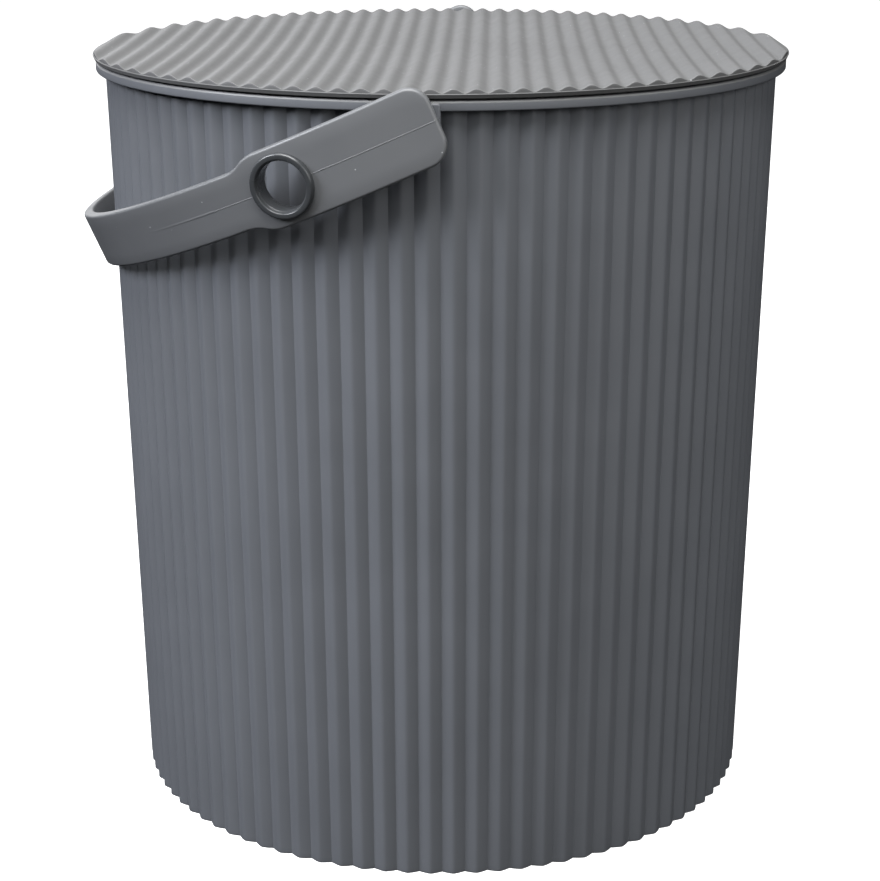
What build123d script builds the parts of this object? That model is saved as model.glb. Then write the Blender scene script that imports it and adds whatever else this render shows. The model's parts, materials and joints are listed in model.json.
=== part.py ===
"""Lidded plastic bucket with a ribbed wall, a corrugated lid and a strap handle.

Millimetres, +Z up. The origin is the centre of the foot ring, on the floor.
The two handle pivots lie on the Y axis of the plan, one in front (-Y) and one behind.
At rest the lid is on and the handle hangs to the left (-X), leaning on the wall.
The bucket is one moulding, parted here into base, wall and rim. The handle is one too,
parted into its grip, two stretches with an eyelet hole, two straight ends and the pivot
pins, so that a convex collision piece never spans the space between.
"""
from build123d import *
import os
from math import acos, atan, atan2, cos, degrees, hypot, radians, sin, sqrt

# Bucket wall: radii are measured to the crests of the ribs
base_crest_radius = 145.8
mouth_crest_radius = 152.3
wall_height = 336.9
rib_count = 90
rib_depth = 1.8
wall_thickness = 2.0
floor_thickness = 3.0
foot_height = 3.0
foot_width = 6.0

# Rim band round the mouth, and the smooth collar inside it
rim_height = 4.2
rim_overhang = 4.2
rim_edge_round = 0.6
collar_depth = 10.0
collar_step = 0.6

# Pivot lugs, the U-shaped ears that hang from the rim band
pivot_drop = 6.6
lug_radius = 11.1
lug_proud = 0.4
lug_top_drop = 0.8
lug_edge_round = 0.8
socket_depth = 5.5

# Lid
lid_overhang = 1.2
lid_shadow_gap = 1.2
flange_thickness = 1.5
flange_edge_round = 0.4
ledge_width = 0.5
trough_rise = 0.3
lid_wave_height = 1.6
lid_wave_pitch = 8.98
lid_plate_thickness = 1.8
lid_turn = 2.6
skirt_depth = 12.0
skirt_thickness = 1.8
skirt_clearance = 0.6
seat_clearance = 0.1
seat_width = 5.2

# Handle: a strap bent to a half circle, with straight ends that carry the pivots
strap_thickness = 5.0
lid_to_strap = 1.2
strap_end_length = 11.2
strap_overrun = 11.3
pad_half_width = 16.2
pad_corner_radius = 9.1
grip_half_width = 12.2
shoulder_length = 15.0
shoulder_inset = 7.4
strap_edge_round = 1.2
strap_to_wall = 0.3

# Handle pivots: a stub pin with a spacing collar on the inside of each strap end
pin_radius = 4.5
pin_clearance = 0.08
pin_tip_gap = 0.5
pin_tip_chamfer = 0.5
pivot_collar_radius = 8.5
pivot_collar_gap = 0.3

# Eyelets: flanged rings pushed into the wide part of the strap
eyelet_angle = 15.9
eyelet_bore_radius = 10.3
eyelet_tube_radius = 11.6
eyelet_flange_radius = 13.5
eyelet_proud = 2.3
eyelet_inner_length = 1.8
eyelet_clearance = 0.1
eyelet_edge_round = 0.5

# Heights and radii that follow from the sizes above
wall_draft = (mouth_crest_radius - base_crest_radius) / wall_height
floor_top = foot_height + floor_thickness
rim_radius = mouth_crest_radius + rim_overhang
rim_top = wall_height + rim_height
collar_foot = wall_height - collar_depth
pivot_height = wall_height - pivot_drop
lug_face = rim_radius + lug_proud
socket_radius = pin_radius + pin_clearance

lid_radius = rim_radius + lid_overhang
plate_radius = lid_radius - ledge_width
flange_bottom = rim_top + lid_shadow_gap
flange_top = flange_bottom + flange_thickness
trough_height = flange_top + trough_rise
crest_height = trough_height + lid_wave_height

strap_inner_radius = lid_radius + lid_to_strap
strap_outer_radius = strap_inner_radius + strap_thickness
eyelet_reach = strap_end_length + strap_outer_radius * sin(radians(eyelet_angle))

# Cutters run this far past the faces that they cut
overcut = 1.0


def crest_radius(height):
    """Radius of the rib crests on the outside of the wall at a height."""
    return base_crest_radius + wall_draft * height


mouth_radius = crest_radius(collar_foot) - rib_depth - wall_thickness - collar_step
skirt_radius = mouth_radius - skirt_clearance
pocket_radius = skirt_radius - skirt_thickness


def hang_angle():
    """Angle below level at which the strap's rounded lower edge meets the wall."""
    slope = sqrt(1 + wall_draft ** 2)
    along = strap_end_length + strap_inner_radius + strap_edge_round
    across = grip_half_width - strap_edge_round
    reach = hypot(along, across)
    level_gap = crest_radius(pivot_height) + (strap_edge_round + strap_to_wall) * slope
    turn = atan(wall_draft) + acos(level_gap / (reach * slope))
    return degrees(turn - atan2(across, along))


def polar(radius, angle):
    """Point in plan at an angle in degrees, counted round from the front (-Y)."""
    return Vector(radius * sin(radians(angle)), -radius * cos(radians(angle)), 0)


def ribbed_face(outer_radius, height):
    """Level section of the ribbed wall: crest and trough arcs in turn, a trough at the front."""
    pitch = 360 / rib_count
    middle = outer_radius - rib_depth / 2
    edges = []
    for index in range(rib_count):
        crest = polar(outer_radius, (index + 0.5) * pitch)
        trough = polar(outer_radius - rib_depth, (index + 1) * pitch)
        start, between, end = [polar(middle, (index + share) * pitch) for share in (0.25, 0.75, 1.25)]
        edges.append(ThreePointArc(start, crest, between))
        edges.append(ThreePointArc(between, trough, end))
    return Pos(0, 0, height) * Face(Wire(edges))


def ribbed_cone(bottom, top, inset):
    """Tapered ribbed solid between two heights, inset from the outside of the wall."""
    sections = [ribbed_face(crest_radius(height) - inset, height) for height in (bottom, top)]
    return loft(sections, ruled=True)


def disc(radius, bottom, top):
    """Upright cylinder between two heights."""
    return Pos(0, 0, bottom) * extrude(Circle(radius), top - bottom)


def front_and_back(solid):
    """A solid at the front pivot and its twin at the back."""
    return [solid, mirror(solid, Plane.XZ)]


def along_y(radius, start, end):
    """Cylinder along -Y from one distance to another, on the pivot axis of the level handle."""
    return Plane((0, -start, 0), z_dir=(0, -1, 0)) * extrude(Circle(radius), end - start)


def rim_band():
    """The band round the mouth, with its outer edges rounded."""
    section = Pos((mouth_radius + rim_radius) / 2, wall_height + rim_height / 2) * Rectangle(
        rim_radius - mouth_radius, rim_height
    )
    section = fillet(section.vertices().group_by(Axis.X)[-1], rim_edge_round)
    return revolve(Plane.XZ * section, Axis.Z)


def pivot_lug():
    """The front ear: a block that ends in a half circle round the pivot."""
    top = rim_top - lug_top_drop - pivot_height
    half_disc = Circle(lug_radius) & Pos(0, -lug_radius / 2) * Rectangle(2 * lug_radius, lug_radius)
    outline = half_disc + Pos(0, top / 2) * Rectangle(2 * lug_radius, top)
    depth = lug_face - mouth_radius + overcut
    front = Plane((0, -lug_face, pivot_height), x_dir=(1, 0, 0), z_dir=(0, -1, 0))
    block = extrude(front * outline, -depth)
    front_edges = block.faces().sort_by(Axis.Y)[0].edges()
    return fillet(front_edges, lug_edge_round)


def bucket_base():
    """Floor and foot ring: the moulding up to the top of the floor."""
    foot_inner = base_crest_radius - rib_depth - foot_width
    return ribbed_cone(0, floor_top, 0) - disc(foot_inner, -overcut, foot_height)


def bucket_wall():
    """Ribbed wall from the floor to the rim band, with the lower parts of the pivot lugs."""
    wall = ribbed_cone(floor_top, wall_height, 0)
    for lug in front_and_back(pivot_lug()):
        wall += split(lug, Plane.XY.offset(wall_height), keep=Keep.BOTTOM)
    wall -= ribbed_cone(floor_top - overcut, collar_foot, wall_thickness)
    wall -= disc(mouth_radius, collar_foot - overcut, wall_height + overcut)
    socket = Pos(0, 0, pivot_height) * along_y(socket_radius, lug_face - socket_depth, lug_face + overcut)
    for hole in front_and_back(socket):
        wall -= hole
    return wall


def bucket_rim():
    """Rim band with the tops of the pivot lugs."""
    rim = rim_band()
    for lug in front_and_back(pivot_lug()):
        rim += split(lug, Plane.XY.offset(wall_height), keep=Keep.TOP)
    return rim - disc(mouth_radius, wall_height - overcut, rim_top + overcut)


def wave_region(trough_level, far_level):
    """Solid between a corrugated surface and a level plane, with a ridge on the Y axis."""
    half_count = int(lid_radius / lid_wave_pitch) + 2
    middle = trough_level + lid_wave_height / 2
    edges = []
    for index in range(-half_count, half_count + 1):
        crest = (index * lid_wave_pitch, trough_level + lid_wave_height)
        trough = ((index + 0.5) * lid_wave_pitch, trough_level)
        start, between, end = [((index + share) * lid_wave_pitch, middle) for share in (-0.25, 0.25, 0.75)]
        edges.append(ThreePointArc(start, crest, between))
        edges.append(ThreePointArc(between, trough, end))
    left, right = edges[0] @ 0, edges[-1] @ 1
    far_right, far_left = (right.X, far_level), (left.X, far_level)
    edges += [Line(right, far_right), Line(far_right, far_left), Line(far_left, left)]
    section = Plane.XZ * Face(Wire(edges))
    return extrude(section, lid_radius + overcut, both=True)


def lid():
    """Corrugated lid: ridged plate, flange, seat ring and the skirt that drops into the mouth."""
    ceiling = crest_height + overcut
    skirt_bottom = flange_bottom - skirt_depth
    seat_bottom = rim_top + seat_clearance
    flange = Pos((lid_radius + pocket_radius) / 2, (flange_bottom + flange_top) / 2) * Rectangle(
        lid_radius - pocket_radius, flange_thickness
    )
    flange = fillet(flange.vertices().group_by(Axis.X)[-1], flange_edge_round)
    blank = revolve(Plane.XZ * flange, Axis.Z)
    blank += disc(plate_radius, flange_bottom, ceiling)
    blank += disc(mouth_radius + seat_width, seat_bottom, flange_top)
    blank += disc(skirt_radius, skirt_bottom, flange_top)
    pocket = wave_region(trough_height - lid_plate_thickness, skirt_bottom - overcut)
    blank -= wave_region(trough_height, ceiling + overcut)
    blank -= pocket & disc(pocket_radius, skirt_bottom - overcut, ceiling)
    return Rot(0, 0, lid_turn) * blank


def strap_plan():
    """Plan of the level strap: straight ends joined by a half circle on the left."""
    bend = -strap_end_length
    edges = []
    for radius, side in ((strap_outer_radius, -1), (strap_inner_radius, 1)):
        start, end = side * radius, -side * radius
        edges.append(Line((strap_overrun, start), (bend, start)))
        edges.append(ThreePointArc((bend, start), (bend - radius, 0), (bend, end)))
        edges.append(Line((bend, end), (strap_overrun, end)))
    for side in (-1, 1):
        outer_corner = (strap_overrun, side * strap_outer_radius)
        edges.append(Line(outer_corner, (strap_overrun, side * strap_inner_radius)))
    return Face(Wire(edges))


def strap_side():
    """Side view of the level strap: wide pads with round corners that narrow to the grip."""
    shoulder_start = -(eyelet_reach + eyelet_flange_radius - shoulder_inset)
    shoulder_end = shoulder_start - shoulder_length
    middle = ((shoulder_start + shoulder_end) / 2, (pad_half_width + grip_half_width) / 2)
    far_end = -(strap_end_length + strap_outer_radius + overcut)
    corner_start = strap_overrun - pad_corner_radius
    half_flat = pad_half_width - pad_corner_radius
    corner = pad_corner_radius * sin(radians(45))
    corner_middle = (corner_start + corner, half_flat + corner)
    upper = [
        Line((far_end, grip_half_width), (shoulder_end, grip_half_width)),
        TangentArc((shoulder_end, grip_half_width), middle, tangent=(1, 0)),
        TangentArc((shoulder_start, pad_half_width), middle, tangent=(-1, 0)),
        Line((shoulder_start, pad_half_width), (corner_start, pad_half_width)),
        ThreePointArc((corner_start, pad_half_width), corner_middle, (strap_overrun, half_flat)),
    ]
    edges = upper + [twin for edge in upper for twin in mirror(edge, Plane.XZ).edges()]
    edges.append(Line((strap_overrun, half_flat), (strap_overrun, -half_flat)))
    edges.append(Line((far_end, grip_half_width), (far_end, -grip_half_width)))
    return Face(Wire(edges))


def eyelet_frame():
    """Plane at the front eyelet's place on the level strap, its normal pointing out of the bend."""
    outward = polar(1, -eyelet_angle)
    return Plane(Vector(-strap_end_length, 0, 0), x_dir=(0, 0, 1), z_dir=outward)


def eyelet_cylinder(radius, start, end):
    """Cylinder on the front eyelet's axis between two distances from the centre of the bend."""
    return eyelet_frame() * (Pos(0, 0, start) * extrude(Circle(radius), end - start))


def hang(solid):
    """Move a piece of the level handle to its hanging place on the bucket."""
    return Pos(0, 0, pivot_height) * Rot(0, -hang_angle(), 0) * solid


def strap():
    """Level strap with rounded edges and its two eyelet holes."""
    band = extrude(strap_plan(), pad_half_width + overcut, both=True)
    side = Plane.XZ * strap_side()
    band &= extrude(side, strap_outer_radius + overcut, both=True)
    faces = band.faces().filter_by(is_broad)
    edges = [edge for face in faces for edge in face.edges()]
    band = fillet(edges, strap_edge_round)
    hole = eyelet_cylinder(
        eyelet_tube_radius + eyelet_clearance, strap_inner_radius - overcut, strap_outer_radius + overcut
    )
    for cutter in front_and_back(hole):
        band -= cutter
    return band


def handle_parts():
    """The strap parted across: the grip, then the eyelet stretches and the straight ends."""
    shoulder_end = eyelet_reach + eyelet_flange_radius - shoulder_inset + shoulder_length
    whole = strap()
    grip = split(whole, Plane.YZ.offset(-shoulder_end), keep=Keep.BOTTOM)
    arms = split(whole, Plane.YZ.offset(-shoulder_end), keep=Keep.TOP)
    stretches = split(arms, Plane.YZ.offset(-strap_end_length), keep=Keep.BOTTOM)
    ends = split(arms, Plane.YZ.offset(-strap_end_length), keep=Keep.TOP)
    parts = {"handle_grip": grip}
    for kind, pair in (("handle_stretch", stretches), ("handle_end", ends)):
        front, back = pair.solids().sort_by(Axis.Y)
        parts[kind + "_front"], parts[kind + "_back"] = front, back
    return parts


def pivot_pin():
    """Front pivot of the level strap: a spacing collar and the stub that turns in the lug."""
    spacer = along_y(pivot_collar_radius, lug_face + pivot_collar_gap, strap_inner_radius)
    pin = along_y(pin_radius, lug_face - socket_depth + pin_tip_gap, strap_inner_radius)
    return spacer + chamfer(pin.faces().sort_by(Axis.Y)[-1].edges(), pin_tip_chamfer)


def is_broad(face):
    """True for the strap's inner and outer faces, which stand parallel to Z."""
    return abs(face.normal_at(face.center(CenterOf.BOUNDING_BOX)).Z) < 0.01


def eyelet():
    """Front eyelet on the level strap: outer flange, tube and through bore."""
    face_distance = strap_outer_radius + eyelet_proud
    inner_end = strap_inner_radius - eyelet_inner_length
    flange = eyelet_cylinder(eyelet_flange_radius, strap_outer_radius - overcut, face_distance)
    flange = fillet(eyelet_rim(flange, face_distance), eyelet_edge_round)
    bend_axis = Pos(-strap_end_length, 0, -eyelet_flange_radius - overcut)
    seat = bend_axis * extrude(
        Circle(strap_outer_radius + eyelet_clearance), 2 * (eyelet_flange_radius + overcut)
    )
    ring = flange - seat + eyelet_cylinder(eyelet_tube_radius, inner_end, face_distance - overcut)
    return ring - eyelet_cylinder(eyelet_bore_radius, inner_end - overcut, face_distance + overcut)


def eyelet_rim(solid, distance):
    """Edges of a cylinder on the eyelet's axis at a distance from the centre of the bend."""
    frame = eyelet_frame()
    return [
        edge for edge in solid.edges() if abs(frame.to_local_coords(edge.center()).Z - distance) < 0.01
    ]


def main():
    """Write one STEP file for each piece."""
    front_eyelet, back_eyelet = front_and_back(eyelet())
    front_pin, back_pin = front_and_back(pivot_pin())
    pieces = {
        "bucket_base": bucket_base(),
        "bucket_wall": bucket_wall(),
        "bucket_rim": bucket_rim(),
        "lid": lid(),
    }
    handle = handle_parts() | {
        "pivot_pin_front": front_pin,
        "pivot_pin_back": back_pin,
        "eyelet_front": front_eyelet,
        "eyelet_back": back_eyelet,
    }
    pieces |= {name: hang(piece) for name, piece in handle.items()}
    os.makedirs("parts", exist_ok=True)
    for name, piece in pieces.items():
        export_step(piece, f"parts/{name}.step")
    print("hang angle", round(hang_angle(), 2), "pivot height", round(pivot_height, 2))
    print("lid radius", round(lid_radius, 2), "strap outer radius", round(strap_outer_radius, 2))


main()
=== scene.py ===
"""Dressed model of the lidded ribbed bucket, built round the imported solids.

Sizes are in millimetres, as in the solids, and MM turns them into metres for the meshes.
Z is up, the handle pivots lie on the Y axis and the front of the bucket looks to -Y.
An azimuth is counted in radians round the bucket from the front towards +X.
"""
import json
from math import cos, hypot, pi, radians, sin, sqrt

import bpy
import bmesh
from mathutils import Matrix, Vector


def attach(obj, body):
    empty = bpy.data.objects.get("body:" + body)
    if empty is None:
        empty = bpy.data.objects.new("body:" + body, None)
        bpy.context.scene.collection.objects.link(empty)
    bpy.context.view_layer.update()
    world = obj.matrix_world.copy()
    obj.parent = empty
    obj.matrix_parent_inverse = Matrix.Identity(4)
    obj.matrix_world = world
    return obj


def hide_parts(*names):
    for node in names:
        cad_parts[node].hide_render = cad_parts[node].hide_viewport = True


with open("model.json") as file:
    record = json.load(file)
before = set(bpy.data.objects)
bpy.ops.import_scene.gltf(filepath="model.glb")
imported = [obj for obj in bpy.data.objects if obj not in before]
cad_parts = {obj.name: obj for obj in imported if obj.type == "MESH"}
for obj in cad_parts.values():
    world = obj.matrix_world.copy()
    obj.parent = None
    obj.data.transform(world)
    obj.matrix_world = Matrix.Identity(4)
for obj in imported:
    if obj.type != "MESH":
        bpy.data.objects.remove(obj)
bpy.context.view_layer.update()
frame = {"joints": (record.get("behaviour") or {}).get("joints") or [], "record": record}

MM = 0.001

# Bucket wall: radii are measured to the crests of the ribs
base_crest_radius = 145.8
mouth_crest_radius = 152.3
wall_height = 336.9
rib_count = 90
rib_depth = 2.1
rib_crest_sharpness = 1.3
wall_thickness = 2.0
floor_thickness = 3.0
foot_height = 3.0
foot_width = 5.7
foot_edge_round = 0.5
floor_corner_round = 3.0
floor_ring_inset = 8.0

# Rim band and the smooth collar inside the mouth
rim_height = 4.2
rim_overhang = 4.2
rim_edge_round = 0.6
rim_top_round = 1.0
# Height of the band on the rim's top edge that is painted paler as a highlight
rim_highlight_width = 1.1
lip_cut_angle = 105
collar_depth = 10.0
collar_step = 0.3

# Pivot lugs
lug_radius = 11.1
lug_proud = 0.4
lug_top_drop = 0.8
lug_edge_round = 0.8
lug_corner_round = 1.4
lug_face_inset = 0.4
lug_ring_depth = 3.0
socket_depth = 5.5
socket_clearance = 0.08

# Lid
lid_overhang = 1.15
lid_shadow_gap = 1.2
flange_thickness = 1.5
flange_edge_round = 0.25
flange_taper = 0.6
flange_lip = 0.3
ledge_width = 0.5
trough_rise = 0.3
plate_edge_round = 0.26
ridge_end_shares = (0.5, 0.05)
lid_wave_height = 1.6
lid_wave_pitch = 8.98
lid_crest_fullness = 0.92
lid_plate_thickness = 1.8
lid_dish = 4.0
lid_turn = radians(2.6)
skirt_depth = 12.0
skirt_thickness = 1.8
skirt_clearance = 0.6
seat_clearance = 0.1
seat_width = 5.2

# Handle
strap_thickness = 4.9
lid_to_strap = 1.25
strap_end_length = 11.2
strap_overrun = 11.3
pad_half_width = 16.19
pad_corner_radius = 9.1
grip_half_width = 12.2
shoulder_length = 15.0
shoulder_inset = 7.4
strap_edge_round = 1.2
parting_height = 0.09
parting_half_width = 0.1
parting_foot = 0.2
parting_flat = 0.8
strap_face_shares = (0.25, 0.6, 1)
parting_reach = 70.0
parting_fade = 60.0
pin_radius = 4.5
pin_tip_gap = 0.5
pin_tip_chamfer = 0.5
pivot_collar_radius = 8.5
pivot_collar_gap = 0.3
pivot_collar_chamfer = 0.4

# Eyelets
eyelet_angle = radians(15.9)
eyelet_bore_radius = 10.3
eyelet_tube_radius = 11.6
eyelet_flange_radius = 13.5
eyelet_proud = 2.3
eyelet_inner_length = 1.8
eyelet_clearance = 0.1
eyelet_flange_round = 0.9
eyelet_flange_chamfer = 0.2
eyelet_lip_width = 1.1
eyelet_lip_round = 0.5
eyelet_throat_top = 1.0
eyelet_throat_bottom = 1.7
eyelet_bore_ring = 3.5
eyelet_tube_chamfer = 0.3
eyelet_tube_sunk = 1.0

# Cutting tools reach this far past the piece they cut
overcut = 1.0
tiny = 1e-6

# Surfaces: linear colours, noise scales per metre and heights in metres
body_color = (0.080, 0.085, 0.094)
# Paler colour of the rim's top edge: a painted highlight, not the plastic's own colour
rim_highlight_color = (0.115, 0.117, 0.119)
lid_color = (0.068, 0.0687, 0.0693)
handle_color = (0.084, 0.087, 0.091)
eyelet_color = (0.028, 0.030, 0.032)
noise_range = (0.3, 0.7)
mottle_scale = 14
gloss_scale = 60
gloss_spread = 0.04
grain_scale = 1600
grain_height = 0.00004
speck_scale = 130
speck_edge = (0.045, 0.02)
speck_color = (0.55, 0.56, 0.57, 1)

# Camera and studio
camera_heading = radians(4.165)
camera_pitch = radians(17.242)
camera_roll = -0.00259
camera_place = (-0.84, -973.7, 457.0)
camera_lens = 86.04
camera_sensor = 36
light_aim_height = 200.0
floor_reach = 8000.0

# Places that follow from the frame and the sizes above
swing = next(joint for joint in frame["joints"] if joint["name"] == "handle_swing")
pivot_height = swing["pos_m"][2] / MM
hang_angle = radians((swing["range_deg"][1] - 180) / 2)

wall_draft = (mouth_crest_radius - base_crest_radius) / wall_height
rim_radius = mouth_crest_radius + rim_overhang
rim_top = wall_height + rim_height
collar_foot = wall_height - collar_depth
lug_face = rim_radius + lug_proud
mouth_radius = (
    base_crest_radius + wall_draft * collar_foot - rib_depth - wall_thickness - collar_step
)

lid_radius = rim_radius + lid_overhang
plate_radius = lid_radius - ledge_width
flange_bottom = rim_top + lid_shadow_gap
flange_top = flange_bottom + flange_thickness
trough_height = flange_top + trough_rise
skirt_radius = mouth_radius - skirt_clearance
pocket_radius = skirt_radius - skirt_thickness

strap_inner_radius = lid_radius + lid_to_strap
strap_outer_radius = strap_inner_radius + strap_thickness
strap_mid_radius = strap_inner_radius + strap_thickness / 2
eyelet_reach = strap_end_length + strap_outer_radius * sin(eyelet_angle)
shoulder_reach = eyelet_reach + eyelet_flange_radius - shoulder_inset
parting_end = 2 * strap_overrun + eyelet_reach + parting_reach

# Mesh fineness
steps_per_rib = 12
steps_per_wave = 12
wall_rows = 30
wall_low_row = 2.0
wall_row_margin = 1.0
lid_rows = 24
lid_edge_step = 1.3
corner_stations = 12
pad_stations = 28
shoulder_stations = 24
grip_stations = 70
shoulder_margin = 2.0
round_steps = 4
lug_arc_steps = 24
pin_steps = 64
hole_steps = 96
eyelet_steps = 120
sharp_angle = radians(35)


def arc(radius, height, size, start, end, steps=round_steps):
    """Points (radius, height) on a small arc of a profile, angles in degrees from outward to up."""
    angles = [radians(start + (end - start) * index / steps) for index in range(steps + 1)]
    return [(radius + size * cos(angle), height + size * sin(angle)) for angle in angles]


def spread(start, end, count):
    """Evenly spaced numbers from start to end, both included."""
    return [start + (end - start) * index / (count - 1) for index in range(count)]


def quads(rows, columns):
    """Faces of a grid of points stored row by row, closed along its rows."""
    faces = []
    for row in range(rows - 1):
        for column in range(columns):
            here, beside = row * columns + column, row * columns + (column + 1) % columns
            faces.append((here, beside, beside + columns, here + columns))
    return faces


def new_object(name, points, faces):
    """Mesh object from points in millimetres, with outward normals and soft shading."""
    mesh = bpy.data.meshes.new(name)
    mesh.from_pydata([Vector(point) * MM for point in points], [], faces)
    work = bmesh.new()
    work.from_mesh(mesh)
    bmesh.ops.recalc_face_normals(work, faces=work.faces)
    work.to_mesh(mesh)
    work.free()
    piece = bpy.data.objects.new(name, mesh)
    bpy.context.scene.collection.objects.link(piece)
    shade(piece)
    return piece


def shade(piece):
    """Smooth shading that keeps the sharp edges."""
    piece.data.polygons.foreach_set("use_smooth", [True] * len(piece.data.polygons))
    piece.data.set_sharp_from_angle(angle=sharp_angle)


def combine(target, tool, operation):
    """Join a closed mesh to another, or cut it out, and delete the tool."""
    modifier = target.modifiers.new("combine", "BOOLEAN")
    modifier.operation = operation
    modifier.solver = "MANIFOLD"
    modifier.object = tool
    graph = bpy.context.evaluated_depsgraph_get()
    mesh = bpy.data.meshes.new_from_object(target.evaluated_get(graph))
    target.modifiers.clear()
    target.data = mesh
    bpy.data.objects.remove(tool)
    shade(target)


def hang(points):
    """Points of the level handle, moved to its hanging place on the bucket."""
    turn = Matrix.Translation((0, 0, pivot_height)) @ Matrix.Rotation(-hang_angle, 4, "Y")
    return [turn @ Vector(point) for point in points]


def mirrored(points):
    """The same points at the back of the bucket."""
    return [(point[0], -point[1], point[2]) for point in points]


def crest_radius(height):
    """Radius of the rib crests on the outside of the wall at a height."""
    return base_crest_radius + wall_draft * height


def rib_inset(azimuth):
    """How far the wall lies inside its crests: roof-like ribs that meet in creases."""
    share = rib_count * azimuth / (2 * pi) % 1
    return rib_depth * abs(2 * share - 1) ** rib_crest_sharpness


def ribbed_lathe(name, profile, azimuths):
    """Solid turned about Z from a profile that starts and ends on the axis.

    Its entries are (radius, height), with a 1 behind where the surface follows the ribs."""
    inner = profile[1:-1]
    points = []
    for radius, height, *ribbed in inner:
        for azimuth in azimuths:
            reach = radius - rib_inset(azimuth) if ribbed else radius
            points.append((reach * sin(azimuth), -reach * cos(azimuth), height))
    count = len(azimuths)
    faces = quads(len(inner), count)
    first, last = len(points), len(points) + 1
    points += [(0, 0, profile[0][1]), (0, 0, profile[-1][1])]
    top = (len(inner) - 1) * count
    for index in range(count):
        after = (index + 1) % count
        faces.append((first, after, index))
        faces.append((last, top + index, top + after))
    return new_object(name, points, faces)


def bucket_outside(azimuths):
    """The body as a full solid: foot ring, ribbed wall and rim band."""
    foot_inner = base_crest_radius - rib_depth - foot_width
    profile = [(0, foot_height), (foot_inner / 2, foot_height), (foot_inner, foot_height)]
    profile += arc(foot_inner + foot_edge_round, foot_edge_round, foot_edge_round, 180, 270)
    foot = arc(base_crest_radius - foot_edge_round, foot_edge_round, foot_edge_round, -90, 0)
    wall_heights = spread(wall_low_row, wall_height - wall_row_margin, wall_rows)
    wall = [(crest_radius(height), height) for height in wall_heights]
    wall.append((crest_radius(wall_height), wall_height))
    profile += [(radius, height, 1) for radius, height in foot + wall]
    profile += arc(rim_radius - rim_edge_round, wall_height + rim_edge_round, rim_edge_round, -90, 0)
    profile += arc(rim_radius - rim_top_round, rim_top - rim_top_round, rim_top_round, 0, 90)
    profile += [(mouth_radius - 2 * overcut, rim_top), (0, rim_top)]
    return ribbed_lathe("bucket_body_dressed", profile, azimuths)


def bucket_cavity(azimuths):
    """The space inside the bucket, open through the rim."""
    floor_top = foot_height + floor_thickness
    low_radius = crest_radius(floor_top) - wall_thickness
    corner_center = (low_radius - floor_corner_round, floor_top + floor_corner_round)
    corner = arc(*corner_center, floor_corner_round, -90, 0)
    floor_ring = low_radius - floor_ring_inset
    profile = [(0, floor_top), (low_radius / 2, floor_top), (floor_ring, floor_top)]
    wall_start = floor_top + floor_corner_round + wall_row_margin
    wall_heights = spread(wall_start, collar_foot, wall_rows)
    wall = [(crest_radius(height) - wall_thickness, height) for height in wall_heights]
    profile += [(radius, height, 1) for radius, height in corner + wall]
    profile.append((mouth_radius, collar_foot))
    lip_center = (mouth_radius + rim_edge_round, rim_top - rim_edge_round)
    lip = arc(*lip_center, rim_edge_round, 180, lip_cut_angle)
    profile += lip
    flare = (lip[-1][0] - lip[-2][0], lip[-1][1] - lip[-2][1])
    rise = overcut / flare[1]
    profile += [(lip[-1][0] + flare[0] * rise, lip[-1][1] + overcut), (0, lip[-1][1] + overcut)]
    return ribbed_lathe("cavity", profile, azimuths)


def lug_outline(inset):
    """Front view of the lug round its pivot, inset from the true edge: a half disc under a block."""
    radius = lug_radius - inset
    top = rim_top - lug_top_drop - pivot_height - inset
    corner = lug_corner_round - inset
    points = arc(0, 0, radius, -180, 0, lug_arc_steps)
    points += arc(radius - corner, top - corner, corner, 0, 90)
    points += arc(corner - radius, top - corner, corner, 90, 180)
    return points


def stack(loops, place):
    """Closed solid from outline loops (points, depth), capped at both ends."""
    count = len(loops[0][0])
    points = [place(point, depth) for outline, depth in loops for point in outline]
    faces = quads(len(loops), count)
    faces.append(tuple(reversed(range(count))))
    faces.append(tuple(range((len(loops) - 1) * count, len(loops) * count)))
    return points, faces


def pivot_lug():
    """The front ear, from inside the wall out to its rounded face."""
    side = lug_outline(0)
    loops = [(side, mouth_radius - overcut), (side, lug_face - lug_ring_depth)]
    for step in range(round_steps + 1):
        angle = pi / 2 * step / round_steps
        inset = lug_edge_round * (1 - cos(angle))
        loops.append((lug_outline(inset), lug_face - lug_edge_round * (1 - sin(angle))))
    loops.append((lug_outline(lug_edge_round + lug_face_inset), lug_face))
    return stack(loops, lambda point, depth: (point[0], -depth, pivot_height + point[1]))


def circle(radius, steps):
    """Points of a circle round the origin."""
    angles = [2 * pi * index / steps for index in range(steps)]
    return [(radius * cos(angle), radius * sin(angle)) for angle in angles]


def around_y(profile):
    """Solid turned about the front pivot's axis from (radius, depth) points, capped at both ends."""
    loops = [(circle(radius, pin_steps), depth) for radius, depth in profile]
    return stack(loops, lambda point, depth: (point[0], -depth, point[1]))


def make_bucket():
    """Body: outside with lugs, less the sockets and the space inside."""
    count = rib_count * steps_per_rib
    azimuths = [2 * pi * index / count for index in range(count)]
    body = bucket_outside(azimuths)
    socket_radius = pin_radius + socket_clearance
    socket = [(socket_radius, lug_face - socket_depth), (socket_radius, lug_face + overcut)]
    lug_points, lug_faces = pivot_lug()
    socket_points, socket_faces = around_y(socket)
    socket_points = [(x, y, z + pivot_height) for x, y, z in socket_points]
    for side in (lambda points: points, mirrored):
        combine(body, new_object("lug", side(lug_points), lug_faces), "UNION")
        combine(body, new_object("socket", side(socket_points), socket_faces), "DIFFERENCE")
    combine(body, bucket_cavity(azimuths), "DIFFERENCE")
    return body


def lid_wave(across):
    """Height of the corrugated plate above its troughs at a distance across the ridges."""
    return lid_wave_height * ((1 + cos(2 * pi * across / lid_wave_pitch)) / 2) ** lid_crest_fullness


def lid_sag(x, y):
    """How far the dished plate lies below the level of its edge."""
    return lid_dish * (1 - (x * x + y * y) / plate_radius ** 2)


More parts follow.
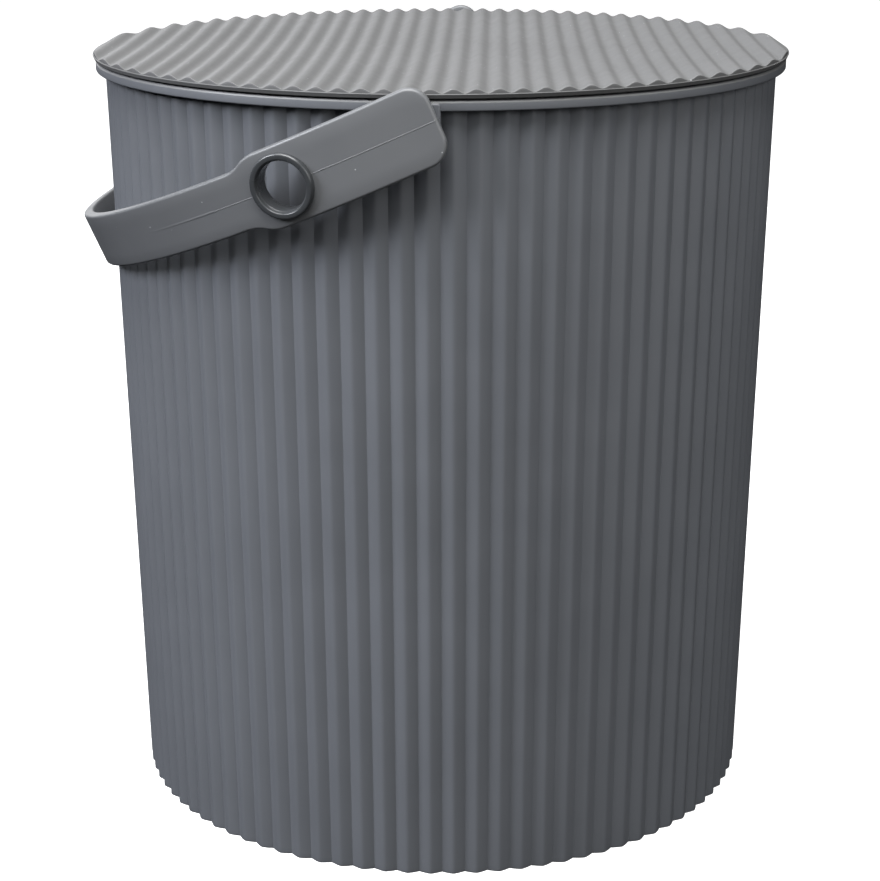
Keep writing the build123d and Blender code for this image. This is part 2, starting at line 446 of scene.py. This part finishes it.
def lid_columns():
    """Azimuths of the lid's columns right of the front, fine enough for the waves and the rim."""
    azimuth, found = 0, []
    while azimuth < pi / 2 - lid_edge_step / plate_radius / 2:
        found.append(azimuth)
        wave_step = lid_wave_pitch / steps_per_wave / (plate_radius * cos(azimuth))
        azimuth += min(wave_step, lid_edge_step / plate_radius)
    return [-azimuth for azimuth in reversed(found[1:])] + found


def lid_profile():
    """Rim of the lid from the plate's edge down, round the flange, seat and skirt to the pocket.

    Each entry is (radius, height, share of the wave height that is added to it)."""
    profile = []
    for step in range(round_steps + 1):
        angle = pi / 2 * step / round_steps
        radius = plate_radius - plate_edge_round * (1 - sin(angle))
        profile.append((radius, trough_height - plate_edge_round * (1 - cos(angle)), 1))
    ridge_foot = trough_height - plate_edge_round
    foot_heights = (ridge_foot, (ridge_foot + flange_top) / 2)
    for height, share in zip(foot_heights, ridge_end_shares):
        profile.append((plate_radius, height, share))
    level = [(plate_radius, flange_top)]
    edge = lid_radius - flange_edge_round
    level += arc(edge, flange_top - flange_edge_round, flange_edge_round, 90, 0)
    lip_bottom = flange_bottom - flange_lip
    level += arc(edge - flange_taper, lip_bottom + flange_edge_round, flange_edge_round, 0, -90)
    seat_radius = mouth_radius + seat_width
    seat_bottom = rim_top + seat_clearance
    level += [(seat_radius, flange_bottom), (seat_radius, seat_bottom), (skirt_radius, seat_bottom)]
    skirt_bottom = flange_bottom - skirt_depth
    half = skirt_thickness / 2
    middle = skirt_radius - half
    level += arc(middle, skirt_bottom + half, half, 0, -180, 2 * round_steps)
    profile += [(radius, height, 0) for radius, height in level]
    profile.append((pocket_radius, trough_height - lid_plate_thickness, 1))
    return profile


def make_lid():
    """Corrugated plate with its underside, closed by the profile of the rim."""
    columns = lid_columns()
    azimuths = columns + [pi - azimuth for azimuth in reversed(columns)]
    count = len(azimuths)
    profile = lid_profile()
    points = []
    for radius, height, share in profile:
        for azimuth in azimuths:
            x, y = radius * sin(azimuth), -radius * cos(azimuth)
            points.append((x, y, height + share * (lid_wave(x) - lid_sag(x, y))))
    faces = quads(len(profile), count)
    for ring in (0, (len(profile) - 1) * count):
        faces += plate_faces(points, ring, len(columns), count)
    turn = Matrix.Rotation(lid_turn, 3, "Z")
    return new_object("lid_dressed", [turn @ Vector(point) for point in points], faces)


def plate_faces(points, ring, half_count, count):
    """Fill a ring of the lid with rows that run along the ridges, adding the points between."""
    rows = []
    for index in range(half_count):
        front, back = ring + index, ring + count - 1 - index
        row = [front]
        if 0 < index < half_count - 1:
            (x, near, height), far = points[front], points[back][1]
            level = height + lid_sag(x, near)
            for share in spread(0, 1, lid_rows)[1:-1]:
                y = near + (far - near) * share
                points.append((x, y, level - lid_sag(x, y)))
                row.append(len(points) - 1)
        rows.append(row + [back])
    faces = [tuple(rows[0][::-1] + rows[1]), tuple(rows[-2] + rows[-1][::-1])]
    for row, beside in zip(rows[1:-2], rows[2:-1]):
        for index in range(lid_rows - 1):
            faces.append((row[index], beside[index], beside[index + 1], row[index + 1]))
    return faces


def strap_place(along, across, outward):
    """Point of the level handle from its length, width and thickness coordinates."""
    straight = strap_overrun + strap_end_length
    bend = pi * strap_mid_radius
    reach = strap_mid_radius + outward
    if along < straight:
        return (strap_overrun - along, -reach, across)
    if along > straight + bend:
        return (along - straight - bend - strap_end_length, reach, across)
    angle = (along - straight) / strap_mid_radius
    return (-strap_end_length - reach * sin(angle), -reach * cos(angle), across)


def strap_half_width(along):
    """Half width of the strap: a pad with round corners that narrows over an S curve to the grip."""
    back = pad_corner_radius - along
    if back > 0:
        return pad_half_width - pad_corner_radius + sqrt(pad_corner_radius ** 2 - back ** 2)
    shoulder = -strap_place(along, 0, 0)[0] - shoulder_reach
    drop = pad_half_width - grip_half_width
    curve = (shoulder_length ** 2 + drop ** 2) / (4 * drop)
    if shoulder <= 0:
        return pad_half_width
    if shoulder < shoulder_length / 2:
        return pad_half_width - curve + sqrt(curve ** 2 - shoulder ** 2)
    rest = shoulder_length - shoulder
    if rest > 0:
        return grip_half_width + curve - sqrt(curve ** 2 - rest ** 2)
    return grip_half_width


def strap_stations():
    """Distances along the first half of the strap, closest at the corners and shoulders."""
    corner_angles = spread(0, pi / 2, corner_stations)
    corner = [pad_corner_radius * (1 - cos(angle)) for angle in corner_angles]
    half_length = strap_overrun + strap_end_length + pi * strap_mid_radius / 2
    pad_end = strap_overrun + shoulder_reach - shoulder_margin
    shoulder_end = pad_end + shoulder_length + 3 * shoulder_margin
    stations = corner[:-1] + spread(pad_corner_radius, pad_end, pad_stations)[:-1]
    stations += spread(pad_end, shoulder_end, shoulder_stations)[:-1]
    return stations + spread(shoulder_end, half_length, grip_stations)


def strap_outline():
    """Upper edge of the flat strap as (along, half width, inward normal) from end to end."""
    half = strap_stations()
    whole = 2 * half[-1]
    edge = [(along, strap_half_width(along)) for along in half]
    edge += [(whole - along, width) for along, width in reversed(edge[:-1])]
    outline = []
    for index, (along, width) in enumerate(edge):
        before, after = edge[max(index - 1, 0)], edge[min(index + 1, len(edge) - 1)]
        step, rise = after[0] - before[0], after[1] - before[1]
        if index in (0, len(edge) - 1):
            step, rise = 0, 1 if index == 0 else -1
        length = hypot(step, rise)
        outline.append((along, width, rise / length, -step / length))
    return outline


def strap_across(width):
    """Places of the points across the strap, close together at the mid-width parting line."""
    half = [parting_half_width, parting_foot, parting_flat]
    half += [share * width for share in strap_face_shares]
    return [-value for value in reversed(half)] + half


def parting_rise(along, across):
    """Height of the thin moulding line along the middle of the strap's outer face."""
    if abs(across) > (parting_half_width + parting_foot) / 2:
        return 0
    fade = min(max((parting_end - along) / parting_fade, 0), 1)
    return parting_height * fade


def strap_levels():
    """The strap's rounded edge as (inset, outward) pairs, from its outer face to its inner face."""
    half = strap_thickness / 2
    levels = []
    for step in range(round_steps + 1):
        angle = pi / 2 * (1 - step / round_steps)
        inset = strap_edge_round * (1 - cos(angle))
        levels.append((inset, half - strap_edge_round * (1 - sin(angle))))
    return levels + [(inset, -outward) for inset, outward in reversed(levels)]


def strap_loop(outline, inset):
    """The flat strap's whole outline as (along, across) points, moved in by an inset."""
    upper = [
        (along + inset * normal_along, width + inset * normal_across)
        for along, width, normal_along, normal_across in outline
    ]
    far_end = [(upper[-1][0], across) for across in strap_across(upper[-1][1])[-2:0:-1]]
    lower = [(along, -across) for along, across in reversed(upper)]
    near_end = [(upper[0][0], across) for across in strap_across(upper[0][1])[1:-1]]
    return upper + far_end + lower + near_end


def make_strap():
    """The strap as a flat slab with rounded edges, bent to its place on the level handle."""
    outline = strap_outline()
    last = len(outline) - 1
    across_count = len(strap_across(1))
    levels = strap_levels()
    edge_inset, face_level = levels[0]
    points, loops = [], []

    def add(along, across, outward):
        on_face = abs(outward - face_level) < tiny
        rise = parting_rise(along, across) if on_face else 0
        points.append(strap_place(along, across, outward + rise))
        return len(points) - 1

    for inset, outward in levels:
        loops.append([add(along, across, outward) for along, across in strap_loop(outline, inset)])
    faces = []
    for first, second in zip(loops, loops[1:]):
        for index, (start, beside) in enumerate(zip(first, second)):
            after = (index + 1) % len(first)
            faces.append((start, first[after], second[after], beside))
    for loop, outward in ((loops[0], face_level), (loops[-1], -face_level)):
        grid = []
        for index, (along, width, normal_along, normal_across) in enumerate(outline):
            upper, lower = loop[index], loop[2 * last + across_count - 1 - index]
            if index == 0:
                row = loop[-(across_count - 2):]
            elif index == last:
                row = loop[last + 1:last + across_count - 1][::-1]
            else:
                place = along + edge_inset * normal_along
                inner = strap_across(width + edge_inset * normal_across)[1:-1]
                row = [add(place, across, outward) for across in inner]
            grid.append([lower, *row, upper])
        for row, beside in zip(grid, grid[1:]):
            for index in range(across_count - 1):
                faces.append((row[index], row[index + 1], beside[index + 1], beside[index]))
    return new_object("handle_dressed", hang(points), faces)


def eyelet_place(radius, angle, distance):
    """Point round the front eyelet's axis, at a distance from the centre of the bend."""
    side, lift = radius * cos(angle), radius * sin(angle)
    x = -strap_end_length - distance * sin(eyelet_angle) - side * cos(eyelet_angle)
    y = -distance * cos(eyelet_angle) + side * sin(eyelet_angle)
    return (x, y, lift)


def make_handle():
    """Strap with eyelet holes, spacing collars and stub pins."""
    handle = make_strap()
    spacer_start = lug_face + pivot_collar_gap
    tip = lug_face - socket_depth + pin_tip_gap
    stub = [
        (pin_radius - pin_tip_chamfer, tip),
        (pin_radius, tip + pin_tip_chamfer),
        (pin_radius, spacer_start),
        (pivot_collar_radius - pivot_collar_chamfer, spacer_start),
        (pivot_collar_radius, spacer_start + pivot_collar_chamfer),
        (pivot_collar_radius, strap_mid_radius),
    ]
    hole_radius = eyelet_tube_radius + eyelet_clearance
    angles = [2 * pi * index / hole_steps for index in range(hole_steps)]
    ends = (strap_inner_radius - overcut, strap_outer_radius + 2 * overcut)
    hole_loops = [(angles, end) for end in ends]
    stub_points, stub_faces = around_y(stub)
    hole_points, hole_faces = stack(
        hole_loops, lambda angle, end: eyelet_place(hole_radius, angle, end)
    )
    for side in (lambda points: points, mirrored):
        combine(handle, new_object("stub", hang(side(stub_points)), stub_faces), "UNION")
        combine(handle, new_object("hole", hang(side(hole_points)), hole_faces), "DIFFERENCE")
    return handle


def eyelet_rings():
    """The eyelet's section as (radius, distance, whether the distance is from the strap's face)."""
    face = strap_outer_radius + eyelet_proud
    inner_end = strap_inner_radius - eyelet_inner_length
    flange_center = (eyelet_flange_radius - eyelet_flange_round, face - eyelet_flange_round)
    flange_edge = arc(*flange_center, eyelet_flange_round, 0, 90)
    lip_center = (eyelet_bore_radius + eyelet_lip_width, face - eyelet_lip_round)
    lip = arc(*lip_center, eyelet_lip_round, 90, 180)
    tube = [
        (eyelet_bore_radius + eyelet_lip_round, face - eyelet_throat_top),
        (eyelet_bore_radius, face - eyelet_throat_bottom),
        (eyelet_bore_radius, face - eyelet_bore_ring),
        (eyelet_bore_radius, inner_end + eyelet_tube_chamfer),
        (eyelet_bore_radius + eyelet_tube_chamfer, inner_end),
        (eyelet_tube_radius - eyelet_tube_chamfer, inner_end),
        (eyelet_tube_radius, inner_end + eyelet_tube_chamfer),
        (eyelet_tube_radius, strap_outer_radius - eyelet_tube_sunk),
    ]
    seat = [
        (eyelet_tube_radius, 0),
        (eyelet_flange_radius - eyelet_flange_chamfer, 0),
        (eyelet_flange_radius, eyelet_flange_chamfer),
    ]
    rings = [(radius, rise, True) for radius, rise in seat]
    return rings + [(radius, distance, False) for radius, distance in flange_edge + lip + tube]


def make_eyelet(name, side):
    """Flanged ring whose flange sits on the curved strap."""
    rings = eyelet_rings()
    points = []
    for radius, distance, on_strap in rings:
        for index in range(eyelet_steps):
            angle = 2 * pi * index / eyelet_steps
            rest = sqrt((strap_outer_radius + eyelet_clearance) ** 2 - (radius * cos(angle)) ** 2)
            points.append(eyelet_place(radius, angle, rest + distance if on_strap else distance))
    faces = quads(len(rings), eyelet_steps)
    last = (len(rings) - 1) * eyelet_steps
    for index in range(eyelet_steps):
        after = (index + 1) % eyelet_steps
        faces.append((last + index, last + after, after, index))
    return new_object(name, hang(side(points)), faces)


def plastic(name, color, roughness, mottle=0.05, grain=0.2, specks=0.0):
    """Moulded plastic with faint colour mottling, a fine moulded grain and dust specks."""
    material = bpy.data.materials.new(name)
    material.use_nodes = True
    nodes, links = material.node_tree.nodes, material.node_tree.links
    shader = nodes["Principled BSDF"]
    place = nodes.new("ShaderNodeTexCoord").outputs["Object"]

    def noise(scale, detail):
        node = nodes.new("ShaderNodeTexNoise")
        node.inputs["Scale"].default_value = scale
        node.inputs["Detail"].default_value = detail
        links.new(place, node.inputs["Vector"])
        return node.outputs["Fac"]

    def remap(source, reach, low, high):
        node = nodes.new("ShaderNodeMapRange")
        node.inputs["From Min"].default_value, node.inputs["From Max"].default_value = reach
        node.inputs["To Min"].default_value = low
        node.inputs["To Max"].default_value = high
        links.new(source, node.inputs["Value"])
        return node.outputs["Result"]

    def mix(factor, first, second):
        node = nodes.new("ShaderNodeMix")
        node.data_type = "RGBA"
        node.inputs["B"].default_value = second
        if isinstance(first, tuple):
            node.inputs["A"].default_value = first
        else:
            links.new(first, node.inputs["A"])
        links.new(factor, node.inputs["Factor"])
        return node.outputs["Result"]

    dark = (*[channel * (1 - mottle) for channel in color], 1)
    light = (*[channel * (1 + mottle) for channel in color], 1)
    shown = mix(remap(noise(mottle_scale, 4), noise_range, 0, 1), dark, light)
    if specks:
        cells = nodes.new("ShaderNodeTexVoronoi")
        cells.inputs["Scale"].default_value = speck_scale
        links.new(place, cells.inputs["Vector"])
        shown = mix(remap(cells.outputs["Distance"], speck_edge, 0, specks), shown, speck_color)
    links.new(shown, shader.inputs["Base Color"])
    dullness = noise(gloss_scale, 3)
    gloss = remap(dullness, noise_range, roughness - gloss_spread, roughness + gloss_spread)
    links.new(gloss, shader.inputs["Roughness"])
    bump = nodes.new("ShaderNodeBump")
    bump.inputs["Strength"].default_value = grain
    bump.inputs["Distance"].default_value = grain_height
    links.new(noise(grain_scale, 2), bump.inputs["Height"])
    links.new(bump.outputs["Normal"], shader.inputs["Normal"])
    return material


def finish_piece(piece, material, body, nodes):
    """Give a piece its material and tie it to the frame."""
    piece.data.materials.clear()
    piece.data.materials.append(material)
    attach(piece, body)
    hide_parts(*nodes)


def paint_rim_highlight(bucket, material):
    """Paint a highlight on the outer top edge of the rim band: a band of paler material where the
    rounded edge would catch the light.
    """
    bucket.data.materials.append(material)
    inner, low = (rim_radius - rim_top_round) * MM, (rim_top - rim_highlight_width) * MM
    for face in bucket.data.polygons:
        if face.center.z > low and hypot(face.center.x, face.center.y) > inner:
            face.material_index = 1


def build_object():
    """All five pieces with their materials."""
    body_plastic = plastic("body_plastic", body_color, 0.46)
    lid_plastic = plastic("lid_plastic", lid_color, 0.56, grain=0.06, specks=0.8)
    handle_plastic = plastic("handle_plastic", handle_color, 0.45, specks=0.5)
    eyelet_plastic = plastic("eyelet_plastic", eyelet_color, 0.28, grain=0.1)
    bodies = frame["record"]["behaviour"]["bodies"]
    bucket_nodes = bodies["bucket"]
    handle_nodes = [node for node in bodies["handle"] if "eyelet" not in node]
    bucket = make_bucket()
    finish_piece(bucket, body_plastic, "bucket", bucket_nodes)
    # Paint a highlight on the rim's top edge with a paler material
    paint_rim_highlight(bucket, plastic("rim_painted_highlight", rim_highlight_color, 0.46))
    finish_piece(make_lid(), lid_plastic, "lid", ["lid"])
    finish_piece(make_handle(), handle_plastic, "handle", handle_nodes)
    for name, side in (("eyelet_front", lambda points: points), ("eyelet_back", mirrored)):
        ring = make_eyelet(name + "_dressed", side)
        finish_piece(ring, eyelet_plastic, "handle", [name])


def add_camera():
    """The photograph's viewpoint: in front, a little to the right, looking down on the lid."""
    heading = Matrix.Rotation(camera_heading, 4, "Z")
    place = heading @ Vector(camera_place) * MM
    data = bpy.data.cameras.new("camera")
    data.lens = camera_lens
    data.sensor_width = camera_sensor
    data.sensor_fit = "HORIZONTAL"
    camera = bpy.data.objects.new("camera", data)
    aim = heading @ Matrix.Rotation(pi / 2 - camera_pitch, 4, "X")
    camera.matrix_world = Matrix.Translation(place) @ aim @ Matrix.Rotation(camera_roll, 4, "Z")
    bpy.context.scene.collection.objects.link(camera)
    bpy.context.scene.camera = camera


def add_light(name, azimuth, elevation, distance, size, power, color=(1, 1, 1)):
    """Soft rectangular light that faces the middle of the bucket, placed by degrees and metres."""
    side, lift = radians(azimuth), radians(elevation)
    offset = Vector((cos(lift) * sin(side), -cos(lift) * cos(side), sin(lift))) * distance
    data = bpy.data.lights.new(name, "AREA")
    data.shape = "RECTANGLE"
    data.size, data.size_y = size
    data.energy = power
    data.color = color
    light = bpy.data.objects.new(name, data)
    light.location = Vector((0, 0, light_aim_height * MM)) + offset
    light.rotation_euler = (-offset).to_track_quat("-Z", "Y").to_euler()
    bpy.context.scene.collection.objects.link(light)


def add_floor():
    """Pale floor that casts no light on the bucket."""
    reach = floor_reach * MM
    corners = [(-reach, -reach, 0), (reach, -reach, 0), (reach, reach, 0), (-reach, reach, 0)]
    mesh = bpy.data.meshes.new("floor")
    mesh.from_pydata(corners, [], [(0, 1, 2, 3)])
    floor = bpy.data.objects.new("floor", mesh)
    bpy.context.scene.collection.objects.link(floor)
    material = bpy.data.materials.new("floor")
    material.use_nodes = True
    shader = material.node_tree.nodes["Principled BSDF"]
    shader.inputs["Base Color"].default_value = (0.4, 0.4, 0.4, 1)
    shader.inputs["Roughness"].default_value = 0.9
    shader.inputs["Specular IOR Level"].default_value = 0.0
    shader.inputs["Emission Color"].default_value = (1, 1, 1, 1)
    shader.inputs["Emission Strength"].default_value = 0.93
    mesh.materials.append(material)
    floor.visible_diffuse = False
    floor.visible_glossy = False


def add_lights():
    """Soft lights all round: the strongest from above the front, the key from the left."""
    add_light("overhead", -10, 65, 2.2, (1.6, 1.2), 100)
    add_light("key", -65, 32, 2.4, (1.0, 1.0), 86, color=(0.96, 0.985, 1.06))
    add_light("front", -20, 30, 2.8, (1.6, 1.2), 16)
    add_light("right_front", 35, 20, 2.8, (1.6, 1.4), 28)
    add_light("right", 80, 25, 2.6, (1.4, 1.4), 20)
    add_light("top", 180, 80, 2.0, (1.6, 1.4), 40)
    add_light("behind", 180, 35, 2.6, (2.4, 1.2), 8)
    add_light("back_left", -150, 15, 2.8, (1.6, 1.6), 12)


def add_surround():
    """White surround that only the camera sees."""
    world = bpy.data.worlds.new("studio")
    bpy.context.scene.world = world
    world.use_nodes = True
    background = world.node_tree.nodes["Background"]
    background.inputs["Color"].default_value = (1, 1, 1, 1)
    background.inputs["Strength"].default_value = 1.0
    world.cycles_visibility.diffuse = False
    world.cycles_visibility.glossy = False
    bpy.context.scene.view_settings.view_transform = "Standard"


build_object()
add_camera()
add_floor()
add_lights()
add_surround()
